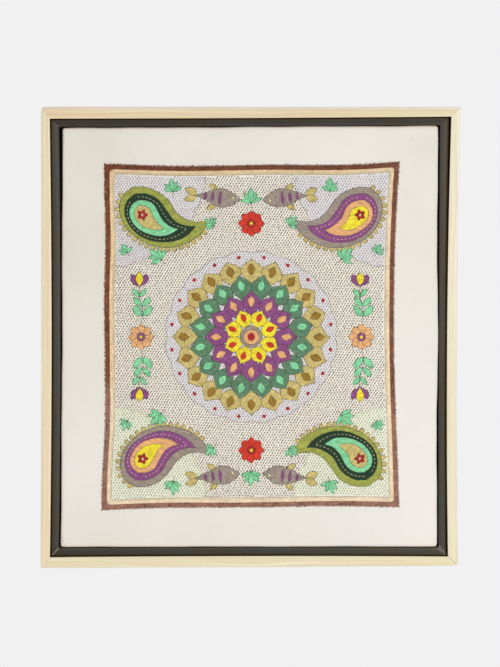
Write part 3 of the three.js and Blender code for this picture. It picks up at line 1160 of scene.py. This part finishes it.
class Rails:
    """Four mitred rails of one kind. From the CAD, in millimetres from the front: the middle
    and half size of their outer rectangle, their width, and the depths of their back and
    front. The rest says how they look."""

    def __init__(self, node, piece, slot, material, marks=("joint", "chips")):
        boxes = np.array([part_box(f"{node}_{side}") for side in SIDES]) / MM
        low, high = boxes[:, 0].min(0), boxes[:, 1].max(0)
        self.middle = (low + high)[[0, 2]] / 2
        self.half = (high - low)[[0, 2]] / 2
        self.width = boxes[0, 1, 2] - boxes[0, 0, 2]
        self.back, self.front = -high[1], -low[1]
        self.node, self.piece, self.slot, self.material = node, piece, slot, material
        self.marks = marks  # which two numbers of its corners the material takes
        self.tones_and_light = by_side(*[(PLAIN, PLAIN)] * 4)
        self.stops = (0, self.width)  # the insets at which the tones and painted light hold
        self.ends = by_side(*[(1, 1)] * 4)
        self.painted = 0  # for each point of the section, whether it is dark
        self.rounded = 0  # 1 where the corners are round

    def wander(self, points, wander, first, last):
        """Points moved in plan as a table of wandering says. first and last are how far
        inside these rails' outer edge the table's two edges lie. Beyond the last, the shift
        dies out."""
        def reach(side, share, inset):
            t = np.clip(share, 0, 1)
            outer, inner = (
                start * (1 - t) + end * t + (middle - (start + end) / 2) * 4 * t * (1 - t)
                for start, middle, end in wander[side]
            )
            blend = np.clip((inset - first) / (last - first), 0, 1)
            calm = np.clip(1 - (inset - last) / (self.width - last), 0, 1)
            return (outer * (1 - blend) + inner * blend) * calm

        return moved_out(points - self.middle, self.half, reach) + self.middle

    def colours(self, side, inset, share):
        """A side's colours at an inset and at a share of the way along, from its tones and painted
        light.
        """
        across = np.transpose(self.tones_and_light[side])
        colours = np.stack([np.interp(inset, self.stops, channel) for channel in across], -1)
        start, end = np.array(self.ends[side])
        return colours * (start + (end - start) * share[..., None])

    def make(self, side):
        """One mitred rail: its section run along its side, then moved in plan."""
        k = SIDES.index(side)
        length = 2 * self.half[k % 2]
        middle = np.linspace(EVEN_FROM, length - EVEN_FROM, EVEN_COUNT)
        stations = np.concatenate([NEAR_END, middle, (length - NEAR_END)[::-1]])
        inset, depth = self.section.T
        half = length / 2 - inset - MITRE_GAP
        along = (stations / length * 2 - 1)[:, None] * half
        into, out = np.broadcast_arrays(inset, depth, along)[:2]
        corner = {key: from_corners(values, side, along < 0) for key, values in CORNERS.items()}

        across = into - self.half[1 - k % 2]
        plan = along[..., None] * AHEAD[side] + across[..., None] * INWARD[side]
        rounding = self.rounded * corner["round"].reshape(-1, 1)
        plan = self.middle + round_corners(plan.reshape(-1, 2), self.half, rounding)
        x, z = self.moved(plan).T
        vertices = np.stack([x, -out.ravel(), z], 1) * MM

        index = np.arange(along.size).reshape(along.shape)
        around = np.column_stack([index, index[:, 0]])
        faces = [*cell_corners(around.T).reshape(-1, 4), index[0], index[-1, ::-1]]
        girth = run_along(np.vstack([self.section, self.section[:1]]))
        spread = [cell_corners(v.T) for v in np.broadcast_arrays(stations[:, None], girth)]
        # the two mitred ends are mapped beside the sides
        end = self.section / MAP_RUN + (0.01, 0.5)
        sides = np.stack(spread, -1).reshape(-1, 2) / MAP_RUN + 0.01
        uv = np.vstack([sides, end, end[::-1] + (0.2, 0)])

        first, second = (corner[key] for key in self.marks)
        # the colours hold the wood's tone or paint, with painted highlights and shade
        colours = self.colours(side, into, 0.5 + along / half / 2)
        dark = np.broadcast_to(self.painted, along.shape)
        attributes = {
            "grain": np.stack([along + PLANK * k, into, out], -1).reshape(-1, 3),
            "mitre": np.stack([half - np.abs(along), first, second], -1).reshape(-1, 3),
            "tone": np.concatenate([colours, dark[..., None]], -1).reshape(-1, 4),
        }
        piece = add_mesh(
            f"{self.piece}_{side}", vertices, faces, self.material, attributes, uv
        )
        for mitred_end in piece.data.polygons[-2:]:
            mitred_end.use_smooth = False
        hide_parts(f"{self.node}_{side}")


def make_frame():
    pale_wood = wood_material("pale_wood", (246, 234, 205), (232, 213, 179), (212, 184, 140), 0.5)
    pine = wood_material("stretcher_pine", (226, 203, 156), (208, 176, 124), (180, 146, 98), 0.65)
    rail = Rails("rail", "frame_rail", "pale_wood", pale_wood)
    step = Rails("step", "frame_step", "charcoal_step", charcoal_material(), ("reach", "chips"))
    bar = Rails("bar", "stretcher", "stretcher_pine", pine)

    step_inset = rail.half[0] - step.half[0]
    lip, shelf_front = step_inset - FIT_GAP, step.back - FIT_GAP
    rail.section = rounded_section([
        (0, 0, 0.6), (rail.width, 0, 0.4), (rail.width, shelf_front, 0.5),
        (lip, shelf_front, 0), (lip, rail.front, 0.5), (0, rail.front, 0.8),
    ], longest=1.6)
    inset, depth = rail.section.T
    # the paint runs over the shelf and up the lip's inner side
    rail.painted = (inset > lip - 0.12) & (depth < rail.front - 0.1) & (depth > 0.3)
    rail.moved = lambda points: rail.wander(points, RAIL_WANDER, 0, lip)
    rail.tones_and_light, rail.stops, rail.ends, rail.rounded = RAIL_TONES_AND_LIGHT, RAIL_STOPS, RAIL_ENDS, 1

    step.section = rounded_section([
        (0, step.back, 0), (step.width, step.back, 0), (step.width, step.front, 1.2),
        (0, step.front, 0.5),
    ], longest=1.2)
    step.moved = lambda points: rail.wander(points, STEP_WANDER, step_inset, step_inset + step.width)
    # the steps' colours hold painted light and shade
    step.tones_and_light = by_side(*linear(list(STEP_PAINT_AND_LIGHT.values())))
    step.stops, step.ends = STEP_STOPS, STEP_LIGHT_ENDS

    bar.section = rounded_section([
        (0, bar.back, 0.7), (bar.width, bar.back, 1.2), (bar.width, bar.front, 1.2),
        (0, bar.front, 0.7),
    ], longest=6)
    # the stretcher follows the cloth that is pulled round it
    bar.moved = lambda points: stretched(points - CLOTH_MIDDLE) + CLOTH_MIDDLE
    for side in SIDES:
        for rails in (rail, step, bar):
            rails.make(side)


# ---- materials

class Nodes:
    """Short hands for building a node tree."""

    def __init__(self, tree):
        self.tree = tree

    def node(self, kind, inputs=(), **settings):
        """The outputs of a new node, its inputs given in order or by name."""
        made = self.tree.nodes.new("ShaderNode" + kind)
        for key, value in settings.items():
            setattr(made, key, value)
        for key, value in inputs.items() if isinstance(inputs, dict) else enumerate(inputs):
            if isinstance(value, bpy.types.NodeSocket):
                self.tree.links.new(value, made.inputs[key])
            else:
                made.inputs[key].default_value = value
        return made.outputs

    def attribute(self, name):
        return self.node("Attribute", attribute_name=name)

    def parts(self, vector):
        return self.node("SeparateXYZ", [vector])

    def math(self, operation, a, b=0.0):
        return self.node("Math", (a, b), operation=operation)[0]

    def times(self, a, b):
        return self.math("MULTIPLY", a, b)

    def spread(self, value, low, high, to_low=0.0, to_high=1.0):
        return self.node("MapRange", (value, low, high, to_low, to_high))[0]

    def mix(self, factor, a, b, blend="MIX"):
        return self.node("Mix", {0: factor, 6: a, 7: b}, data_type="RGBA", blend_type=blend)[2]

    def tinted(self, colour, tint):
        return self.mix(1.0, colour, tint, "MULTIPLY")

    def noise(self, vector, stretch, detail=3.0, roughness=0.55):
        scaled = self.node("VectorMath", (vector, stretch), operation="MULTIPLY")[0]
        inputs = {"Vector": scaled, "Scale": 1.0, "Detail": detail, "Roughness": roughness}
        return self.node("TexNoise", inputs)["Fac"]

    def bump(self, height, strength, distance, **below):
        inputs = {"Height": height, "Strength": strength, "Distance": distance, **below}
        return self.node("Bump", inputs)[0]

    def seen_plainly(self):
        """1 for what the camera sees, and for reflections and what shows through."""
        rays = self.node("LightPath")
        shiny = self.math("MAXIMUM", rays["Is Glossy Ray"], rays["Is Transmission Ray"])
        return self.math("MAXIMUM", rays["Is Camera Ray"], shiny)

    def mix_surfaces(self, factor, a, b, output):
        mixed = self.node("MixShader", (factor, a, b))[0]
        self.tree.links.new(mixed, self.tree.nodes[output].inputs["Surface"])


class Material(Nodes):
    """A material's nodes. What is the same all over it is set on its shader's own sockets."""

    def __init__(self, name, roughness, specular=0.5, sheen=0.0):
        self.material = bpy.data.materials.new(name)
        self.material.use_nodes = True
        super().__init__(self.material.node_tree)
        self.shader = self.tree.nodes["Principled BSDF"]
        for key, value in (
            ("Roughness", roughness), ("Specular IOR Level", specular), ("Sheen Weight", sheen),
        ):
            self.shader.inputs[key].default_value = value

    def finish(self, **sockets):
        """The material, with what varies over it linked to its shader."""
        for key, value in sockets.items():
            self.tree.links.new(value, self.shader.inputs[key.replace("_", " ").title()])
        return self.material


def cloth_material():
    """Cream cotton: a fine plain weave, soft mottling, and ripples between rows of stitches."""
    n = Material("kantha_cotton", roughness=0.88, specular=0.2, sheen=0.12)
    # the cloth's colour, with painted light and shade in it
    tint = n.attribute("tint")
    flat = n.attribute("flat")["Vector"]
    mottle = n.noise(flat, (0.012, 0.012, 0.012), 3.0)
    slub = n.noise(flat, (0.12, 1.6, 1.0), 2.0)
    slub_across = n.noise(flat, (1.6, 0.12, 1.0), 2.0)
    colour = n.tinted(tint["Color"], n.spread(mottle, 0.3, 0.7, 0.98, 1.01))
    colour = n.tinted(colour, n.spread(slub, 0.3, 0.7, 0.99, 1.006))
    colour = n.tinted(colour, n.spread(slub_across, 0.3, 0.7, 0.99, 1.006))
    for *middle, radius, strength in CLOTH_MARKS:
        away = n.node("VectorMath", (flat, (*middle, 0.0)), operation="DISTANCE")["Value"]
        dark = n.spread(away, radius * 0.4, radius, strength, 0.0)
        colour = n.mix(dark, colour, rgba(THREADS["ink"]))
    parts = n.parts(flat)
    weft = n.math("SINE", n.times(parts["X"], 2 * math.pi / 0.55))
    warp = n.math("SINE", n.times(parts["Y"], 2 * math.pi / 0.6))
    over, up = n.times(parts["X"], math.sin(ROW_ANGLE)), n.times(parts["Y"], math.cos(ROW_ANGLE))
    ripple = n.math("COSINE", n.times(n.math("SUBTRACT", over, up), 2 * math.pi / ROW_PITCH))
    normal = n.bump(n.noise(flat, (0.03, 0.03, 0.03)), 0.5, 1.5 * MM)
    normal = n.bump(n.times(ripple, tint["Alpha"]), 0.6, 0.35 * MM, Normal=normal)
    normal = n.bump(n.times(weft, warp), 0.35, 0.06 * MM, Normal=normal)
    return n.finish(base_color=colour, normal=normal)


def thread_material():
    """Stranded cotton: each stitch's own colour, fine twist, and a little shine."""
    n = Material("stranded_cotton", roughness=0.66, specular=0.25, sheen=0.08)
    strand = n.attribute("strand")["Vector"]
    uneven = n.spread(n.noise(strand, (0.5, 2.0, 1.0), 2.0), 0.3, 0.7, 0.92, 1.08)
    colour = n.tinted(n.attribute("thread")["Color"], uneven)
    parts = n.parts(strand)
    slant = n.math("ADD", n.times(parts["X"], 9.0), n.times(parts["Y"], 14.0))
    return n.finish(base_color=colour, normal=n.bump(n.math("SINE", slant), 0.5, 0.05 * MM))


def wood_material(name, light, dark, line, roughness):
    """Straight-grained wood: broad bands and thin late-wood lines that wander along the rail,
    pinkish and greenish streaks, fine grain and pores. Its tone with its painted highlights and
    shade, its dark paint and its joints come from the rail."""
    n = Material(name, roughness, specular=0.35)
    grain = n.attribute("grain")["Vector"]
    tone = n.attribute("tone")
    mitre = n.parts(n.attribute("mitre")["Vector"])
    parts = n.parts(grain)
    drift = n.spread(n.noise(grain, (0.006, 0.05, 0.05), 2.0), 0.0, 1.0, 0.0, 12.0)
    across = n.math("ADD", n.math("ADD", parts["Y"], n.times(parts["Z"], 0.3)), drift)
    slow = n.times(parts["X"], 0.003)
    wander = n.node("CombineXYZ", (slow, across, 0.0))[0]
    bands = n.noise(wander, (1.0, 0.4, 1.0), 2.0, 0.6)
    lines = n.noise(wander, (2.0, 0.95, 1.0), 1.0, 0.5)
    streaks = n.noise(wander, (3.0, 0.3, 1.0), 2.0, 0.5)
    fine = n.noise(grain, (0.02, 2.2, 2.2), 4.0, 0.6)
    holes = n.spread(n.noise(grain, (0.11, 5.5, 5.5), 2.0, 0.5), 0.62, 0.74, 0.0, 0.25)
    colour = n.mix(n.spread(bands, 0.3, 0.7), rgba(light), rgba(dark))
    colour = n.mix(n.spread(lines, 0.56, 0.7, 0.0, 0.32), colour, rgba(line))
    hue = n.mix(n.spread(streaks, 0.35, 0.65), rgba((251, 255, 246)), rgba((255, 249, 252)))
    colour = n.tinted(n.tinted(colour, hue), n.spread(fine, 0.25, 0.75, 0.95, 1.04))
    colour = n.mix(holes, colour, rgba([c * 0.66 for c in dark]))
    # the rail's tone, which holds painted highlights and shade
    colour = n.tinted(colour, tone["Color"])
    joint = n.times(n.spread(mitre["X"], 0.05, 0.45, 0.75, 0.0), mitre["Y"])
    colour = n.mix(joint, colour, rgba((150, 112, 72)))
    paint = n.tinted(n.spread(fine, 0.25, 0.75, 0.8, 1.2), rgba((50, 38, 16)))
    colour = n.mix(tone["Alpha"], colour, paint)
    normal = n.bump(holes, -0.2, 0.1 * MM, Normal=n.bump(fine, 0.25, 0.12 * MM))
    rough = n.spread(fine, 0.2, 0.8, roughness - 0.06, roughness + 0.1)
    return n.finish(base_color=colour, roughness=rough, normal=normal)


def charcoal_material():
    """Charcoal paint, thin enough to show the grain, its colours with their painted shade and
    highlights from the step's table, browner in patches, and rubbed pale at the mitres."""
    n = Material("charcoal_paint", roughness=0.5, specular=0.22)
    grain = n.attribute("grain")["Vector"]
    mitre = n.parts(n.attribute("mitre")["Vector"])
    fine = n.noise(grain, (0.02, 0.9, 0.9), 3.0)
    cloud = n.noise(grain, (0.035, 0.12, 0.12))
    thin = n.mix(n.spread(cloud, 0.38, 0.62), rgba((255, 243, 228)), rgba((244, 250, 255)))
    # the step's paint, with painted shade and highlights
    colour = n.tinted(n.attribute("tone")["Color"], thin)
    colour = n.tinted(colour, n.spread(fine, 0.28, 0.72, 0.86, 1.16))
    edge = n.spread(n.math("DIVIDE", mitre["X"], mitre["Y"]), 0.2, 1.0, 1.0, 0.0)
    speck = n.spread(n.noise(grain, (0.8, 0.8, 0.8), 4.0, 0.7), 0.46, 0.58)
    colour = n.mix(n.times(n.times(edge, speck), mitre["Z"]), colour, rgba((224, 217, 200)))
    rough = n.spread(cloud, 0.3, 0.7, 0.4, 0.52)
    return n.finish(base_color=colour, roughness=rough, normal=n.bump(fine, 0.3, 0.1 * MM))


# ---- camera, light and floor

CAMERA_AZIMUTH = math.radians(-0.5)
CAMERA_ELEVATION = math.radians(1.2)
CAMERA_DISTANCE = 1.8
CAMERA_LENS = 89.5
AIM = Vector((0.0005, -0.035, -0.2265))
BACKGROUND = rgba((241, 241, 241))
AMBIENT = 0.54
# Lamps: place, size, power and colour
LAMPS = (
    ((1.1, -1.4, -0.48), 0.9, 11.7, (1.0, 0.985, 0.96)),
    ((-1.3, -1.6, 0.3), 1.2, 7.8, (0.97, 0.985, 1.0)),
    ((0.3, 1.6, 0.9), 1.2, 10.0, (1.0, 1.0, 1.0)),
)
FLOOR_DROP = 0.62
FLOOR_RADIUS = 1.75


def facing(toward):
    """The rotation that looks along a direction, as lamps and cameras do."""
    return toward.to_track_quat("-Z", "Y").to_euler()


def make_camera():
    turn = Euler((-CAMERA_ELEVATION, 0, CAMERA_AZIMUTH))
    back = turn.to_matrix() @ Vector((0, -1, 0))
    camera = linked("camera", bpy.data.cameras.new("camera"))
    camera.data.lens = CAMERA_LENS
    camera.location = AIM + back * CAMERA_DISTANCE
    camera.rotation_euler = facing(-back)
    bpy.context.scene.camera = camera


def make_lamps():
    middle = (CAD_LOW + CAD_HIGH) / 2
    for k, (at, size, power, colour) in enumerate(LAMPS):
        light = bpy.data.lights.new(f"lamp_{k}", "AREA")
        light.shape = "DISK"
        light.size, light.energy, light.color = size, power, colour
        made = linked(light.name, light)
        made.location = at
        made.rotation_euler = facing(middle - made.location)


def make_world():
    """Pale to the camera and in reflections, and soft light elsewhere."""
    world = bpy.data.worlds.new("studio")
    bpy.context.scene.world = world
    world.use_nodes = True
    n = Nodes(world.node_tree)
    soft = n.node("Background", ((1.0, 0.99, 0.97, 1.0), AMBIENT))[0]
    pale = n.node("Background", [BACKGROUND])[0]
    n.mix_surfaces(n.seen_plainly(), soft, pale, "World Output")


def floor_material():
    """Pale paper that takes the object's shadow, and fades into the background at its rim.
    The camera and reflections see it part lit from within, as pale as the background."""
    n = Material("floor_paper", roughness=0.95, specular=0.0)
    where = n.node("TexCoord")["Object"]
    colour = n.mix(n.noise(where, (6.0, 6.0, 6.0)), rgba((246, 246, 246)), rgba((250, 250, 249)))
    away = n.node("VectorMath", [where], operation="LENGTH")["Value"]
    share = n.spread(away, FLOOR_RADIUS * 0.35, FLOOR_RADIUS * 0.95, 0.7, 1.0)
    glow = n.node("Emission", (BACKGROUND, 1.0))[0]
    n.mix_surfaces(n.times(n.seen_plainly(), share), n.shader.outputs[0], glow, "Material Output")
    return n.finish(base_color=colour)


def make_floor():
    rim = circle((0, 0), FLOOR_RADIUS, 96)
    mesh = bpy.data.meshes.new("floor")
    mesh.from_pydata(np.column_stack([rim, np.zeros(len(rim))]), [], [range(len(rim))])
    mesh.materials.append(floor_material())
    floor = linked("floor", mesh)
    floor.location = (0, 0, CAD_LOW.z - FLOOR_DROP)


# ---- assembly

def main():
    bpy.context.scene.view_settings.view_transform = "Standard"
    make_camera()
    make_lamps()
    make_world()
    make_floor()

    cloth = make_cloth(cloth_material())
    threads = sew_kantha(thread_material())
    make_frame()

    turned_in = edge_section()[-1][2] - CLOTH_BEND


main()
